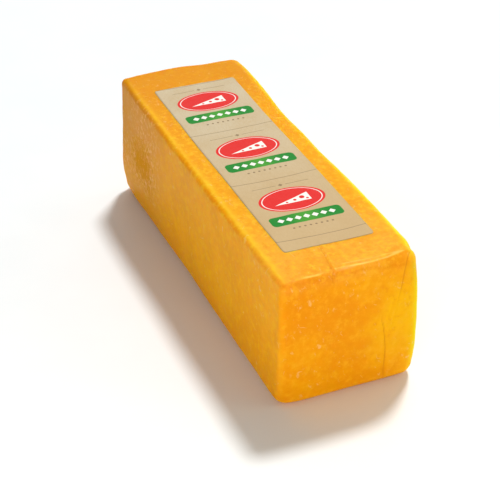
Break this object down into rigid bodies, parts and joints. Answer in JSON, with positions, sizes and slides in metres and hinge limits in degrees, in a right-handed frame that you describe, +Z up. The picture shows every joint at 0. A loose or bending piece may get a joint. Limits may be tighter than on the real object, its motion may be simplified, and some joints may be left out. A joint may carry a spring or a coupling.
{
  "type": "cheddar block",
  "caption": "Long counter block of orange cheddar in skin-tight clear film, with rounded edges and a printed paper strip along its top.",
  "frame": {"origin": "middle of the block's footprint, on the surface it lies on", "axes": "+Y along the block's length, away from the end with the gusset fold; +X to the right seen from that end; +Z up"},
  "size_m": [0.0923, 0.2854, 0.0912],
  "materials": {
    "cheese": "satin",
    "label_paper": "matte"
  },
  "bodies": {
    "root": {"cheddar_block": "cheese", "label_strip": "label_paper"}
  },
  "joints": []
}
